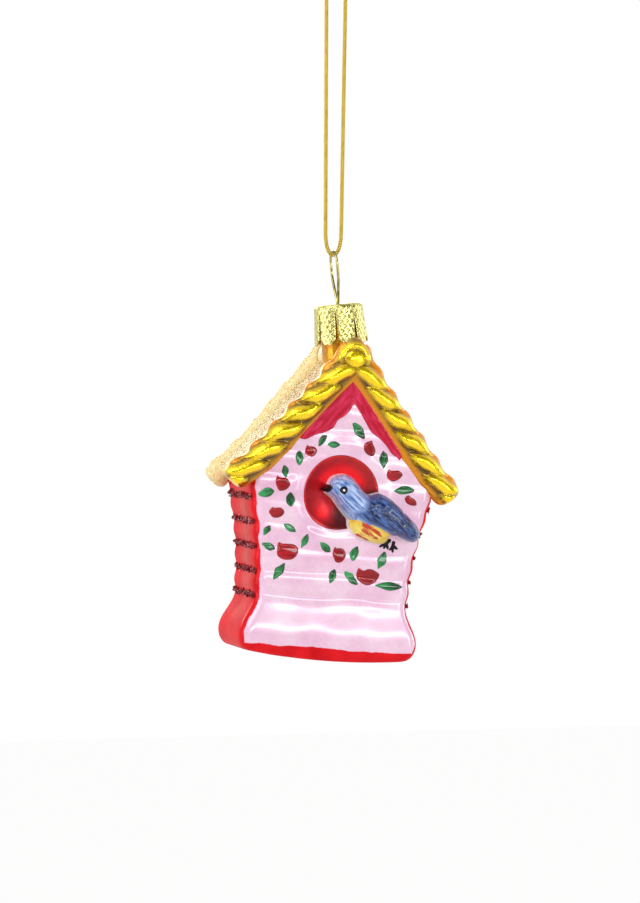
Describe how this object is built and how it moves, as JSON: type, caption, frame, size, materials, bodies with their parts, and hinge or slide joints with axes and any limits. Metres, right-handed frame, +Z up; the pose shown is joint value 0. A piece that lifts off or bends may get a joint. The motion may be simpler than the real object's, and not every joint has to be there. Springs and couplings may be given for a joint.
{
  "type": "birdhouse hanging ornament",
  "caption": "Hollow blown-glass hanging ornament in the form of a birdhouse, with twisted gable trim, a bird at a recessed entrance, a crown cap, a wire hanger and a cord loop.",
  "frame": {"origin": "middle of the hook that the cord's loop hangs on, level with the top of the loop's strands", "axes": "+Z up along the hanging cord, the house front faces -Y, +X to the right seen from the front"},
  "size_m": [0.0578, 0.0345, 0.1828],
  "materials": {
    "painted_glass": "silvered inside, lacquered and hand painted outside, glossy",
    "cap_metal": "stamped thin sheet, embossed, pale gold plated",
    "wire_metal": "drawn wire, gold plated",
    "gold_cord": "twisted metallic yarn",
    "red_glitter": "glued dark red glitter",
    "clear_glitter": "glued pale gold glitter"
  },
  "bodies": {
    "hanging_cord": {"cord": "gold_cord", "cord_knot": "gold_cord"},
    "hanger": {"hanger_wire": "wire_metal"},
    "crown_cap": {"cap": "cap_metal"},
    "house": {"glass_shell": "painted_glass", "glitter_lines_left": "red_glitter", "glitter_lines_right": "red_glitter", "roof_glitter_left": "clear_glitter", "roof_glitter_right": "clear_glitter"}
  },
  "joints": [
    {"name": "swing", "type": "hinge", "parent": "hanging_cord", "child": "hanger", "pos_m": [-0.0008, 0, -0.072], "axis": [1, 0, 0], "range_deg": [-90, 90]},
    {"name": "swivel", "type": "hinge", "parent": "hanger", "child": "crown_cap", "pos_m": [0.00028, 0, -0.08325], "axis": [-0.0958, 0, 0.9954], "continuous": true},
    {"name": "pull_off", "type": "slide", "parent": "crown_cap", "child": "house", "axis": [0.0958, 0, -0.9954], "range_m": [0, 0.02]}
  ]
}
